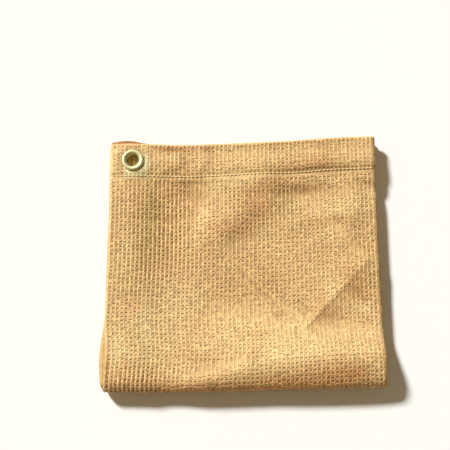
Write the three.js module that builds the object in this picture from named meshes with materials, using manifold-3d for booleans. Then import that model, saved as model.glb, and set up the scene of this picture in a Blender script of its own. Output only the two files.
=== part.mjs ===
// Shade cloth: a hemmed square of knitted cloth, folded in half to the right and in half again
// towards the near edge, lying flat, with one brass eyelet in the far left corner on top.
// Millimetres, +X to the right, +Y to the far edge, +Z up. The origin is on the surface that the
// pack lies on, under the middle of its outline.

import * as THREE from 'three';
import { mergeVertices } from 'three/addons/utils/BufferGeometryUtils.js';
import Module from 'manifold-3d';

const wasm = await Module();
wasm.setup();

// The cloth and its hems
const clothThick = 1.3;
const hemThick = 2.1;
const hemDepth = 32; // along the far edges
const sideHem = 27; // along the free edges on the left
const cornerWidth = 35; // the stitched corner that holds the eyelet
const hemStep = 8; // the width over which a hem's own thickness dies away
const stackStep = { side: 34, far: 24 }; // the same for the height of the four hems together
const edgeRound = 1.2; // the width over which a free edge is rounded
const edgeKeep = 0.45; // the share of the thickness that is left at the very edge

// The pack
const halfWidth = 250; // across the cloth, from a free edge on the left to the fold on the right
const passLength = 216; // down the cloth, from a far edge to the start of the near fold
const rollLength = 40; // down the cloth, round the near fold
const foldGap = 1.0; // between the two layers that one fold joins
const layGap = 1.0; // between the upper and the lower pair of layers
const evenEdge = 44; // this near a free edge, lines in the cloth run even with that edge
const stitchGroove = { depth: 0.7, width: 2.6 };
const partingGap = 0.3; // between pieces that touch
const centre = { x: -1.2, y: 3.7 }; // the middle of the outline, which goes to the origin

// The brass eyelet
const eyelet = {
  x: -103.4,
  y: 98.3,
  flange: 10.2,
  hole: 5.6,
  barrel: 6.1,
  wall: 0.5,
  crown: 1.5, // how far the flange stands above the cloth
  shoulder: 1.6, // from the flange's rim in to its flat top
  mouth: 1.4, // from the flange's flat top in to the hole
  lip: 1.5, // how far the rolled end reaches out past the barrel
  lift: 4.5, // how far the corner stands up around it
  flat: 13.5, // the radius that stays flat under the flange
  blend: 9,
};
const washer = { outer: 9.7, thick: 0.7, bevel: 0.3 };

// How finely the surfaces are divided
const fieldSteps = { down: 18, across: 20 };
const roundSteps = 40;

// Heights in the eyelet, from the flat patch of hem around it down to its lip
const hemTop = 4 * (foldGap / 2 + hemThick) + layGap + eyelet.lift;
const washerTop = hemTop - hemThick - partingGap;
const washerUnder = washerTop - washer.thick;
const lipTop = washerUnder - partingGap;

// Down the cloth, from the far edge of the top layer round the near fold and back underneath:
// where the free edges of the outer and the inner panel lie, and the outside of the fold on the
// right.
const sides = [
  { down: 0, outer: -124.4, inner: -124.2, fold: 124.7 },
  { down: 36, outer: -124.3, inner: -123.8, fold: 124.4 },
  { down: 110, outer: -124.1, inner: -123.2, fold: 124.6 },
  { down: 165, outer: -125.1, inner: -125.6, fold: 125.2 },
  { down: 194, outer: -123.1, inner: -128.9, fold: 125.5 },
  { down: 214, outer: -124.3, inner: -128.3, fold: 126.0 },
  { down: 236, outer: -125.2, inner: -126.0, fold: 126.6 },
  { down: 262, outer: -124.7, inner: -126.2, fold: 125.2 },
  { down: 350, outer: -126.3, inner: -125.2, fold: 125.9 },
  { down: 472, outer: -125.3, inner: -126.6, fold: 125.1 },
];

// Across the pack: the far edges of the four layers, from the top one to the lowest.
const farEdges = [
  { x: -126, first: 114.8, second: 117.6, third: 113.4, fourth: 114.2 },
  { x: -109, first: 115.1, second: 119.6, third: 114.8, fourth: 115.6 },
  { x: -90, first: 115.2, second: 116.6, third: 115.4, fourth: 114.0 },
  { x: -60, first: 114.4, second: 112.8, third: 113.6, fourth: 112.6 },
  { x: -31, first: 115.2, second: 113.4, third: 112.4, fourth: 114.2 },
  { x: 7, first: 116.8, second: 115.0, third: 114.6, fourth: 115.8 },
  { x: 45, first: 118.8, second: 117.4, third: 117.0, fourth: 116.2 },
  { x: 84, first: 121.8, second: 120.6, third: 119.2, fourth: 118.4 },
  { x: 125, first: 123.4, second: 123.4, third: 121.6, fourth: 121.6 },
];

// Across the pack: the near fold, its foremost line, half its height, how far back its upper side
// slopes and its lower side tucks under, and the length over which the top layers climb to it.
const nearFold = [
  { x: -126, nose: -115.7, rise: 4.4, slope: 9, tuck: 5, climb: 80 },
  { x: -95, nose: -115.9, rise: 4.7, slope: 9, tuck: 5, climb: 80 },
  { x: -50, nose: -115.6, rise: 5.2, slope: 11, tuck: 6, climb: 76 },
  { x: 0, nose: -114.6, rise: 6.2, slope: 17, tuck: 8, climb: 66 },
  { x: 45, nose: -113.4, rise: 7.2, slope: 22, tuck: 9, climb: 48 },
  { x: 92, nose: -112.4, rise: 7.4, slope: 25, tuck: 9, climb: 34 },
  { x: 118, nose: -111.8, rise: 6.5, slope: 20, tuck: 8, climb: 34 },
  { x: 125, nose: -111.0, rise: 6.0, slope: 17, tuck: 7, climb: 34 },
];

// The soft ridges and troughs of the top layers. Each runs from one point to another, rises by
// its height, and falls away over its left and right flank, seen from its start. A power of 2
// is a soft swell and 1 a crisp crease. It fades over the length given by fade past each end.
const relief = [
  { from: [-112, 112], to: [-113, -5], height: 0.4, left: 22, right: 16, power: 2, fade: 26 },
  { from: [-11, 94], to: [118, 101], height: 1.3, left: 9, right: 12, power: 2, fade: 13 },
  { from: [-21, 66], to: [-38, 20], height: 2.4, left: 41.5, right: 12, power: 2, fade: 15 },
  { from: [26, 69], to: [-19, 34], height: 4.3, left: 16.5, right: 28.5, power: 2, fade: 14 },
  { from: [-100, 80], to: [-101, -7], height: 0.4, left: 38, right: 26, power: 2, fade: 23 },
  { from: [14, 61], to: [58, 68], height: -1.3, left: 8, right: 18, power: 2, fade: 12 },
  { from: [108, 75], to: [96, 24], height: 1.1, left: 8, right: 15, power: 2, fade: 10 },
  { from: [113, 3], to: [57, -58], height: 3, left: 12, right: 55.5, power: 1.25, fade: 4 },
  { from: [56, -57], to: [28, -94], height: 0.3, left: 19.5, right: 18, power: 1.3, fade: 10 },
  { from: [-4, -99], to: [-46, -112], height: 2, left: 13.5, right: 8, power: 2, fade: 15 },
  { from: [37, -94], to: [121, -89], height: 1.5, left: 18, right: 15, power: 2, fade: 19 },
  { from: [-21, -40], to: [53, -42], height: -2, left: 22, right: 26, power: 2, fade: 20 },
  { from: [27, 49], to: [104, 46], height: 1, left: 18.5, right: 29.5, power: 2, fade: 15 },
];
const restLift = 2.4; // how loosely the top layer lies where nothing else moves it
const leastLift = 0.2;

// How much of the relief each layer follows, from the top one to the lowest.
const follow = { first: 1, second: 0.5, third: 0.22, fourth: 0 };

const mix = (a, b, t) => a + (b - a) * t;
const clamp = (v, low, high) => Math.min(high, Math.max(low, v));
const ease = (t) => {
  const u = clamp(t, 0, 1);
  return u * u * (3 - 2 * u);
};

// The value of a column where key has the value at: a cubic curve through the table's rows.
function along(table, key, at, column) {
  const last = table.length - 1;
  const v = clamp(at, table[0][key], table[last][key]);
  let i = 0;
  while (i < last - 1 && v > table[i + 1][key]) i += 1;
  const a = table[i];
  const b = table[i + 1];
  const span = b[key] - a[key];
  const t = (v - a[key]) / span;
  const slope = (j) => {
    const p = table[Math.max(0, j - 1)];
    const n = table[Math.min(last, j + 1)];
    return ((n[column] - p[column]) / (n[key] - p[key])) * span;
  };
  const t2 = t * t;
  const t3 = t2 * t;
  const start = (2 * t3 - 3 * t2 + 1) * a[column] + (t3 - 2 * t2 + t) * slope(i);
  return start + (3 * t2 - 2 * t3) * b[column] + (t3 - t2) * slope(i + 1);
}

// How far the top layer stands above the flat stack at a place.
function reliefAt(x, y) {
  let lift = restLift;
  for (const r of relief) {
    const dx = r.to[0] - r.from[0];
    const dy = r.to[1] - r.from[1];
    const length = Math.hypot(dx, dy);
    const ahead = ((x - r.from[0]) * dx + (y - r.from[1]) * dy) / length;
    const aside = ((y - r.from[1]) * dx - (x - r.from[0]) * dy) / length;
    const past = Math.max(0, -ahead, ahead - length) / r.fade;
    const flank = Math.abs(aside) / (aside > 0 ? r.left : r.right);
    lift += r.height * Math.exp(-(flank ** r.power) - past * past);
  }
  const away = Math.hypot(x - eyelet.x, y - eyelet.y);
  const hold = 1 - ease((away - eyelet.flat) / eyelet.blend);
  return mix(Math.max(lift, leastLift), eyelet.lift, hold);
}

// The cloth's thickness where a hem has the given share: all of it inside the hem, none outside.
const hemmed = (share) => mix(clothThick, hemThick, share);

// How much of a hem there is at a place, dying away over the given widths past its edges.
function hemAt(x, y, step) {
  const fromSide = x - along(sides, 'down', 0, 'outer');
  const fromFar = along(farEdges, 'x', x, 'first') - y;
  const side = 1 - ease((fromSide - sideHem) / step.side);
  const far = 1 - ease((fromFar - hemDepth) / step.far);
  return Math.max(side, far);
}

const thickAt = (x, y) => hemmed(hemAt(x, y, { side: hemStep, far: hemStep }));

// The groove that the two rows of stitches draw into the top layer.
function grooveAt(x, y) {
  const fromFar = along(farEdges, 'x', x, 'first') - y;
  const off = (fromFar - hemDepth) / stitchGroove.width;
  return stitchGroove.depth * Math.exp(-off * off);
}

// The rows down the cloth. Down is the distance from the top layer's far edge, measured in the
// cloth, turn the angle round the near fold, and edge the distance from the nearer far edge.
const lastDown = 2 * passLength + rollLength;
const topRow = (down) => ({ part: 'top', turn: 90, down, edge: down });
const lowRow = (edge) => ({ part: 'low', turn: -90, down: lastDown - edge, edge });
const rollRow = (turn) => ({
  part: 'roll',
  turn,
  down: passLength + (rollLength * (90 - turn)) / 180,
  edge: passLength,
});

// The columns across the cloth. Inset is the distance from the free edge on the left, measured in
// the cloth, and turn the angle round the fold on the right.
const outerColumn = (inset) => ({ part: 'outer', turn: 90, inset });
const foldColumn = (turn) => ({ part: 'fold', turn, inset: halfWidth });
const innerColumn = (inset) => ({ part: 'inner', turn: -90, inset });

// Where a column crosses a row, seen from above.
function acrossAt(row, column) {
  const foldHem = 1 - ease((row.edge - hemDepth) / hemStep);
  const foldX = along(sides, 'down', row.down, 'fold') - foldGap / 2 - hemmed(foldHem);
  if (column.part === 'fold') return foldX;
  const edgeX = along(sides, 'down', row.down, column.part);
  const rest = Math.max(0, (column.inset - evenEdge) / (halfWidth - evenEdge));
  return mix(edgeX + Math.min(column.inset, evenEdge), foldX, rest);
}

// A point of the cloth. Face is 1 on the side that shows and 0 on the side that is folded in.
function clothPoint(row, column, face) {
  const foldTurn = THREE.MathUtils.degToRad(column.turn);
  const outerShare = (1 + Math.sin(foldTurn)) / 2;
  const x = acrossAt(row, column);

  // The near fold here: its foremost line, and the line where the top pass runs into it.
  const fold = (name) => along(nearFold, 'x', x, name);
  const rise = fold('rise');
  const tip = fold('nose') + foldGap / 2 + thickAt(x, fold('nose'));
  const crest = tip + fold('slope');
  const rollTurn = THREE.MathUtils.degToRad(row.turn);
  const topShare = (1 + Math.sin(rollTurn)) / 2;
  const reach = rollTurn > 0 ? fold('slope') : fold('tuck');

  // Down the cloth: the top pass, round the near fold, then the low pass back to the far edge.
  const far = (name) => along(farEdges, 'x', x, name);
  let y;
  if (row.part === 'top') {
    const rest = Math.max(0, (row.down - evenEdge) / (passLength - evenEdge));
    const farTop = mix(far('second'), far('first'), outerShare);
    y = mix(farTop - Math.min(row.down, evenEdge), crest, rest);
  } else if (row.part === 'roll') {
    y = tip + reach * (1 - Math.cos(rollTurn));
  } else {
    const farLow = mix(far('third'), far('fourth'), outerShare);
    y = mix(farLow, tip + fold('tuck'), row.edge / passLength);
  }

  // Up: the stack of layers, the near fold's height, and the relief that each layer follows.
  const thick = thickAt(x, y);
  const lowMiddle = foldGap / 2 + thick;
  let middle = lowMiddle;
  if (row.part === 'top') {
    const stackMiddle = 3 * (foldGap / 2 + hemmed(hemAt(x, y, stackStep))) + layGap;
    const climb = ease((crest + fold('climb') - y) / fold('climb'));
    middle = mix(stackMiddle, lowMiddle + 2 * rise, climb);
  } else if (row.part === 'roll') {
    middle = lowMiddle + rise + rise * Math.sin(rollTurn);
  }
  const topFollow = mix(follow.second, follow.first, outerShare);
  const lowFollow = mix(follow.third, follow.fourth, outerShare);
  const lift = reliefAt(x, y) * mix(lowFollow, topFollow, topShare);
  const groove = row.part === 'top' ? grooveAt(x, y) * outerShare * face : 0;

  // The layer's own side of the middle, along the path's normal. Free edges are rounded.
  const nearEdge = Math.min(column.inset, row.edge);
  const worn = mix(edgeKeep, 1, ease(nearEdge / edgeRound));
  const offset = foldGap / 2 + face * thick * worn;
  const out = offset * Math.sin(foldTurn);
  const normal = new THREE.Vector2(-Math.cos(rollTurn) / reach, Math.sin(rollTurn) / rise);
  normal.normalize();
  return new THREE.Vector3(
    x + offset * Math.cos(foldTurn) - centre.x,
    y + normal.x * out - centre.y,
    middle + normal.y * out + lift - groove,
  );
}

// A closed thin shell from a grid of rows and columns: the side that shows, the side that is
// folded in, and a wall along every border. Cells that keep turns down are left out.
function shell(rows, columns, keep) {
  const points = [];
  const index = new Map();
  const point = (i, j, face) => {
    const key = `${i},${j},${face}`;
    if (!index.has(key)) {
      const p = clothPoint(rows[i], columns[j], face);
      index.set(key, points.length / 3);
      points.push(p.x, p.y, p.z);
    }
    return index.get(key);
  };
  const has = (i, j) => {
    const inside = i >= 0 && j >= 0 && i < rows.length - 1 && j < columns.length - 1;
    return inside && keep(i, j);
  };
  const triangles = [];
  // Each quad is split along the slant that the folds have, from near left to far right.
  const quad = (a, b, c, d) => triangles.push(a, b, d, b, c, d);
  for (let i = 0; i < rows.length - 1; i += 1) {
    for (let j = 0; j < columns.length - 1; j += 1) {
      if (!has(i, j)) continue;
      const shown = [point(i, j, 1), point(i + 1, j, 1), point(i + 1, j + 1, 1), point(i, j + 1, 1)];
      const back = [point(i, j, 0), point(i + 1, j, 0), point(i + 1, j + 1, 0), point(i, j + 1, 0)];
      quad(shown[0], shown[1], shown[2], shown[3]);
      quad(back[0], back[3], back[2], back[1]);
      const beside = [has(i, j - 1), has(i + 1, j), has(i, j + 1), has(i - 1, j)];
      beside.forEach((joined, k) => {
        const n = (k + 1) % 4;
        if (!joined) quad(shown[n], shown[k], back[k], back[n]);
      });
    }
  }
  const geometry = new THREE.BufferGeometry();
  geometry.setAttribute('position', new THREE.Float32BufferAttribute(points, 3));
  geometry.setIndex(triangles);
  geometry.computeVertexNormals();
  return geometry;
}

// Evenly spaced values from a to b, both included.
const spaced = (a, b, steps) => Array.from({ length: steps + 1 }, (_, i) => mix(a, b, i / steps));

function closedSolid(geometry) {
  const bare = geometry.clone();
  bare.deleteAttribute('normal');
  bare.deleteAttribute('uv');
  const merged = mergeVertices(bare);
  return new wasm.Manifold(new wasm.Mesh({
    numProp: 3,
    vertProperties: new Float32Array(merged.attributes.position.array),
    triVerts: new Uint32Array(merged.index.array),
  }));
}

function asGeometry(solid) {
  const mesh = solid.getMesh();
  const geometry = new THREE.BufferGeometry();
  geometry.setAttribute('position', new THREE.Float32BufferAttribute(mesh.vertProperties, 3));
  geometry.setIndex([...mesh.triVerts]);
  geometry.computeVertexNormals();
  return geometry;
}

// A ring turned about the eyelet's axis from a closed profile of radius and height, which runs
// outwards along the underside and back along the top.
function turnedRing(profile) {
  const points = [...profile, profile[0]].map(([r, z]) => new THREE.Vector2(r, z));
  const ring = new THREE.LatheGeometry(points, roundSteps);
  ring.rotateX(Math.PI / 2);
  ring.translate(eyelet.x - centre.x, eyelet.y - centre.y, 0);
  return ring;
}

function named(name, geometry, material) {
  const mesh = new THREE.Mesh(geometry, material);
  mesh.name = name;
  return mesh;
}

const tanKnit = { color: 0xd9b07a, roughness: 0.85, metalness: 0 };
const paleBrass = { color: 0xd8d09c, roughness: 0.35, metalness: 1 };

// The folded cloth, with the corner that holds the eyelet parted from it along the stitches.
function foldedCloth() {
  const partRow = hemDepth + partingGap / 2;
  const partColumn = cornerWidth + partingGap / 2;
  const hemRows = [0, edgeRound, 8, 16, 24, 29, partRow, 35, 39];
  const hemColumns = [0, edgeRound, 9, 18, sideHem, 31, partColumn, 39];
  const nearTurns = [72, 56, 42, 28, 14, 0, -20, -42, -66];
  const rightTurns = [60, 30, 0, -30, -60];
  const low = [passLength, 173, 125, 78, hemDepth + hemStep, hemDepth, edgeRound, 0];
  const rows = [
    ...[...hemRows, ...spaced(evenEdge, passLength, fieldSteps.down)].map(topRow),
    ...nearTurns.map(rollRow),
    ...low.map(lowRow),
  ];
  const inner = [halfWidth, 222, 194, 166, 138, 110, 82, 60, evenEdge, sideHem, 14, edgeRound, 0];
  const columns = [
    ...[...hemColumns, ...spaced(evenEdge, halfWidth, fieldSteps.across)].map(outerColumn),
    ...rightTurns.map(foldColumn),
    ...inner.map(innerColumn),
  ];
  const keep = (i, j) => i >= hemRows.indexOf(partRow) || j >= hemColumns.indexOf(partColumn);
  return named('folded_cloth', shell(rows, columns, keep), new THREE.MeshStandardMaterial(tanKnit));
}

// The corner where the two hems cross, with a hole for the eyelet's barrel.
function eyeletCorner() {
  const rows = [0, edgeRound, 6, 12, 19, 25, 29, hemDepth - partingGap / 2].map(topRow);
  const columns = [0, edgeRound, 7, 14, 21, 28, cornerWidth - partingGap / 2].map(outerColumn);
  const plate = closedSolid(shell(rows, columns, () => true));
  const boreRadius = eyelet.barrel + partingGap;
  const bore = new THREE.CylinderGeometry(boreRadius, boreRadius, 2 * hemTop, roundSteps);
  bore.rotateX(Math.PI / 2);
  bore.translate(eyelet.x - centre.x, eyelet.y - centre.y, hemTop);
  const cut = plate.subtract(closedSolid(bore));
  return named('eyelet_corner', asGeometry(cut), new THREE.MeshStandardMaterial(tanKnit));
}

// The eyelet: a domed flange on the cloth, a barrel through it, and a lip rolled out below.
function eyeletBody() {
  const seat = hemTop + partingGap;
  const { flange, hole, barrel, wall, crown, shoulder, mouth, lip } = eyelet;
  const rim = [
    [flange - 0.2, seat],
    [flange, seat + crown * 0.3],
    [flange - shoulder / 3, seat + crown * 0.7],
    [flange - shoulder, seat + crown],
  ];
  const throat = [
    [hole + mouth, seat + crown],
    [hole + mouth / 3, seat + crown * 0.75],
    [hole, seat + crown * 0.3],
    [hole, lipTop],
    [hole + wall / 2, lipTop - wall],
  ];
  const rolledEnd = [
    [barrel + lip, lipTop - wall],
    [barrel + lip, lipTop],
    [barrel, lipTop],
    [barrel, seat],
  ];
  const profile = [...rolledEnd, ...rim, ...throat];
  return named('eyelet', turnedRing(profile), new THREE.MeshStandardMaterial(paleBrass));
}

// The washer under the cloth that the barrel is rolled over.
function eyeletWasher() {
  const inner = eyelet.barrel + partingGap;
  const { outer, bevel } = washer;
  const profile = [
    [inner, washerUnder],
    [outer - bevel, washerUnder],
    [outer, washerUnder + bevel],
    [outer - bevel, washerTop],
    [inner, washerTop],
  ];
  return named('eyelet_washer', turnedRing(profile), new THREE.MeshStandardMaterial(paleBrass));
}

const shadeCloth = new THREE.Group();
shadeCloth.add(foldedCloth(), eyeletCorner(), eyeletBody(), eyeletWasher());
export default shadeCloth;
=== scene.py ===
import math

import bpy
import numpy as np
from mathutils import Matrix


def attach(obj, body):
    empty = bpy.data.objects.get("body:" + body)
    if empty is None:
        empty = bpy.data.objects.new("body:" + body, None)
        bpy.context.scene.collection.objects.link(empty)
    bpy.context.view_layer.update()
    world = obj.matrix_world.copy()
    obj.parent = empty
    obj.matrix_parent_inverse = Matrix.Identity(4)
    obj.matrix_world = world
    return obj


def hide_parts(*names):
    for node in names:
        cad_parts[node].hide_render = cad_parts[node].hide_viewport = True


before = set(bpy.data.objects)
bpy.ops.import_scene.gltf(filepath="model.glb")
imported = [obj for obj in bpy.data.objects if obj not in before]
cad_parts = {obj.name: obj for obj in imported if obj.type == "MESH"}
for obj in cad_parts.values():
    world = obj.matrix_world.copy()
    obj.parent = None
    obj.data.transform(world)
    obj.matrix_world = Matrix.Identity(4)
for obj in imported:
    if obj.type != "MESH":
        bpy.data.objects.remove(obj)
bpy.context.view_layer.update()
metre = 0.001  # the tables below are in millimetres
print("frame loaded")


# The camera stands as in the photograph: in front of the near fold, looking steeply down.
camera = {
    "aim": (-15.8, 34.3, 6.0),
    "distance": 850.0,
    "elevation": 75.0,
    "sensor": 36.0,
    "lens": 73.12,  # so 914 pixels in a picture 450 wide
    "sees": (0.01, 20.0),  # from and to, in metres
}


def makeCamera():
    data = bpy.data.cameras.new("camera")
    data.lens = camera["lens"]
    data.sensor_width = camera["sensor"]
    data.clip_start, data.clip_end = camera["sees"]
    obj = bpy.data.objects.new("camera", data)
    tilt = math.radians(camera["elevation"])
    back = np.array([0.0, -math.cos(tilt), math.sin(tilt)]) * camera["distance"]
    obj.location = (np.array(camera["aim"]) + back) * metre
    obj.rotation_euler = (math.radians(90.0) - tilt, 0.0, 0.0)
    bpy.context.scene.collection.objects.link(obj)
    bpy.context.scene.camera = obj


makeCamera()
print("camera placed")


# The cloth, with the sizes and folds of its solids. Lengths are in millimetres.
cloth = {
    "thick": 1.3,
    "hemThick": 2.1,
    "hemDepth": 32.0,
    "sideHem": 27.0,
    "cornerWidth": 35.0,
    "seamPast": 2.0,  # how far the corner's side seam runs on past the far hem's
    "hemStep": 8.0,
    "sideEase": 20.0,  # the side hem's step eases off over this width in the layers that show
    "stackStep": (34.0, 24.0),  # the same for the stack that lies under the hems: side, far
    "edgeRound": 1.2,
    "edgeKeep": 0.45,  # share of the thickness that is left at a free edge
    "halfWidth": 250.0,
    "foldArc": 3.6,  # across the cloth, round the fold on the right
    "length": 470.0,  # down the cloth, from far edge to far edge
    "passLength": 216.0,
    "rollLength": 40.0,
    "foldGap": 1.0,
    "layGap": 1.0,
    "evenEdge": 44.0,  # this near to a free edge the cloth isn't stretched to meet the fold
    "groove": (0.7, 2.6),  # depth, width
    "centre": (-1.2, 3.7),
    "restLift": 2.4,  # the relief before its folds
    "leastLift": 0.2,  # and the least it comes to
    "follow": (1.0, 0.5, 0.22, 0.0),  # how much of the relief each layer takes, from the top
    "ribs": 64,  # in the half width
    "course": 3.83,  # from stitch to stitch along a rib
}
cloth["wale"] = cloth["halfWidth"] / cloth["ribs"]  # from rib to rib

# Down the cloth: the free edges of the outer and the inner panel, and the fold on the right.
sides = {
    "down": [0, 36, 110, 165, 194, 214, 236, 262, 350, 472],
    "outer": [-124.4, -124.3, -124.1, -125.1, -123.1, -124.3, -125.2, -124.7, -126.3, -125.3],
    "inner": [-124.2, -123.8, -123.2, -125.6, -128.9, -128.3, -126.0, -126.2, -125.2, -126.6],
    "fold": [124.7, 124.4, 124.6, 125.2, 125.5, 126.0, 126.6, 125.2, 125.9, 125.1],
}
# Across the pack: the far edges of the four layers, from the top one down.
farEdges = {
    "x": [-126, -109, -90, -60, -31, 7, 45, 84, 125],
    "first": [114.8, 115.1, 115.2, 114.4, 115.2, 116.8, 118.8, 121.8, 123.4],
    "second": [117.6, 119.6, 116.6, 112.8, 113.4, 115.0, 117.4, 120.6, 123.4],
    "third": [113.4, 114.8, 115.4, 113.6, 112.4, 114.6, 117.0, 119.2, 121.6],
    "fourth": [114.2, 115.6, 114.0, 112.6, 114.2, 115.8, 116.2, 118.4, 121.6],
}
# Across the pack: the near fold's foremost line, half its height, how far its upper side slopes
# back and its lower side tucks under, and the length over which the top climbs to it.
nearFold = {
    "x": [-126, -95, -50, 0, 45, 92, 118, 125],
    "nose": [-115.7, -115.9, -115.6, -114.6, -113.4, -112.4, -111.8, -111.0],
    "rise": [4.4, 4.7, 5.2, 6.2, 7.2, 7.4, 6.5, 6.0],
    "slope": [9, 9, 11, 17, 22, 25, 20, 17],
    "tuck": [5, 5, 6, 8, 9, 9, 8, 7],
    "climb": [80, 80, 76, 66, 48, 34, 34, 34],
}
# Ridges and troughs of the top layers: from x, from y, to x, to y, height, left and right flank
# as seen from the start, power (2 a soft swell, 1 a crisp crease), fade past the ends.
folds = [
    (-112, 112, -113, -5, 0.4, 22, 16, 2, 26),
    (-11, 94, 118, 101, 1.3, 9, 12, 2, 13),
    (-21, 66, -38, 20, 2.4, 41.5, 12, 2, 15),
    (26, 69, -19, 34, 4.3, 16.5, 28.5, 2, 14),
    (-100, 80, -101, -7, 0.4, 38, 26, 2, 23),
    (14, 61, 58, 68, -1.3, 8, 18, 2, 12),
    (108, 75, 96, 24, 1.1, 8, 15, 2, 10),
    (113, 3, 57, -58, 3, 12, 55.5, 1.25, 4),
    (56, -57, 28, -94, 0.3, 19.5, 18, 1.3, 10),
    (-4, -99, -46, -112, 2, 13.5, 8, 2, 15),
    (37, -94, 121, -89, 1.5, 18, 15, 2, 19),
    (-21, -40, 53, -42, -2, 22, 26, 2, 20),
    (27, 49, 104, 46, 1, 18.5, 29.5, 2, 15),
]
# Finer creases and puckers of the thin sheet, written in the same way.
creases = [
    (112, 76, 126, 72, -1.46, 4.5, 6, 2, 10.5),
    (-77, -85, -34, -91, -0.34, 6.5, 7.5, 2, 14),
    (-92, 40, -46, 44, -0.52, 6, 7, 2, 12),
    (-18, 84, 125, 89, -0.68, 4, 4, 2, 12.5),
    (45, 86, 95, 86, -0.55, 5.5, 6.5, 2, 12),
    (-74, 90, -59, 96, 2, 12.5, 6, 2, 6),
    (-43, 88, -35, 98, 1.32, 9.5, 5.5, 2, 4.5),
    (-86, 93, -80, 97, 1.29, 8, 5.5, 2, 4),
    (-89, 62, -62, 74, 0.84, 10.5, 10.5, 2, 8),
    (113, 3, 57, -58, 0.55, 2.5, 9, 1, 3),
]
eyelet = {
    "x": -103.4,
    "y": 98.3,
    "flange": 10.2,
    "hole": 5.6,
    "barrel": 6.1,
    "wall": 0.5,
    "crown": 1.5,
    "lip": 1.5,
    "lift": 4.5,  # the relief's height round it
    "flat": 13.5,  # as far out as this, and back to its own over the next
    "blend": 9.0,
    "gap": 0.3,  # between the cloth and the flange, and the washer
    "within": 60.0,  # only cloth that is less far down can lie round the eyelet
}
eyeletAxis = np.array([eyelet["x"], eyelet["y"]]) - cloth["centre"]


def mix(a, b, t):
    return a + (b - a) * t


def ease(t):  # 0 to 1 with level ends: 3 t squared less 2 t cubed
    t = np.clip(t, 0, 1)
    return t * t * (3 - 2 * t)


def along(table, key, at, column):  # cubic curve through the table's rows, slopes from neighbours
    keys = np.array(table[key], float)
    values = np.array(table[column], float)
    before = np.maximum(np.arange(len(keys)) - 1, 0)
    after = np.minimum(np.arange(len(keys)) + 1, len(keys) - 1)
    slope = (values[after] - values[before]) / (keys[after] - keys[before])
    at = np.clip(at, keys[0], keys[-1])
    i = np.clip(np.searchsorted(keys, at, side="right") - 1, 0, len(keys) - 2)
    span = keys[i + 1] - keys[i]
    t = (at - keys[i]) / span
    start = (2 * t**3 - 3 * t**2 + 1) * values[i] + (t**3 - 2 * t**2 + t) * slope[i] * span
    return start + (3 * t**2 - 2 * t**3) * values[i + 1] + (t**3 - t**2) * slope[i + 1] * span


# Height of the top layer over the flat stack: a rest height, plus for each fold its height times
# e to the minus (distance aside over flank) to its power, less the fading past its ends.
def reliefAt(x, y):
    lift = np.full(np.shape(x), cloth["restLift"])
    for fromX, fromY, toX, toY, height, left, right, power, fade in folds + creases:
        dx, dy = toX - fromX, toY - fromY
        length = math.hypot(dx, dy)
        ahead = ((x - fromX) * dx + (y - fromY) * dy) / length
        aside = ((y - fromY) * dx - (x - fromX) * dy) / length
        past = np.maximum(0, np.maximum(-ahead, ahead - length)) / fade
        flank = np.abs(aside) / np.where(aside > 0, left, right)
        lift = lift + height * np.exp(-(flank**power) - past**2)
    away = np.hypot(x - eyelet["x"], y - eyelet["y"])
    hold = 1 - ease((away - eyelet["flat"]) / eyelet["blend"])
    return mix(np.maximum(lift, cloth["leastLift"]), eyelet["lift"], hold)


def hemmed(share):  # thickness, from the field's to the hem's
    return mix(cloth["thick"], cloth["hemThick"], share)


def hemAt(x, y, sideStep, farStep):  # 1 in a hem, 0 in the field
    fromSide = x - along(sides, "down", 0.0, "outer")
    fromFar = along(farEdges, "x", x, "first") - y
    side = 1 - ease((fromSide - cloth["sideHem"]) / sideStep)
    far = 1 - ease((fromFar - cloth["hemDepth"]) / farStep)
    return np.maximum(side, far)


# Quarter of an ellipse by its arc: the angle at a share of the arc that starts on the flat side,
# and the arc's length, from the summed speeds at 24 angles.
def quarterArc(share, flat, tall):
    steps = 24
    angles = np.linspace(0, math.pi / 2, steps + 1)
    middles = (angles[1:] + angles[:-1]) / 2
    speed = np.hypot(flat[..., None] * np.cos(middles), tall[..., None] * np.sin(middles))
    summed = np.cumsum(speed, -1) * angles[1]
    total = summed[..., -1]
    wanted = np.clip(share, 0, 1) * total
    passed = np.sum(summed < wanted[..., None], -1)
    before = np.concatenate([0 * summed[..., :1], summed], -1)
    start = np.take_along_axis(before, passed[..., None], -1)
    pace = np.take_along_axis(speed, np.minimum(passed, steps - 1)[..., None], -1)
    return np.minimum(angles[passed] + (wanted - start[..., 0]) / pace[..., 0], math.pi / 2), total


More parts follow.
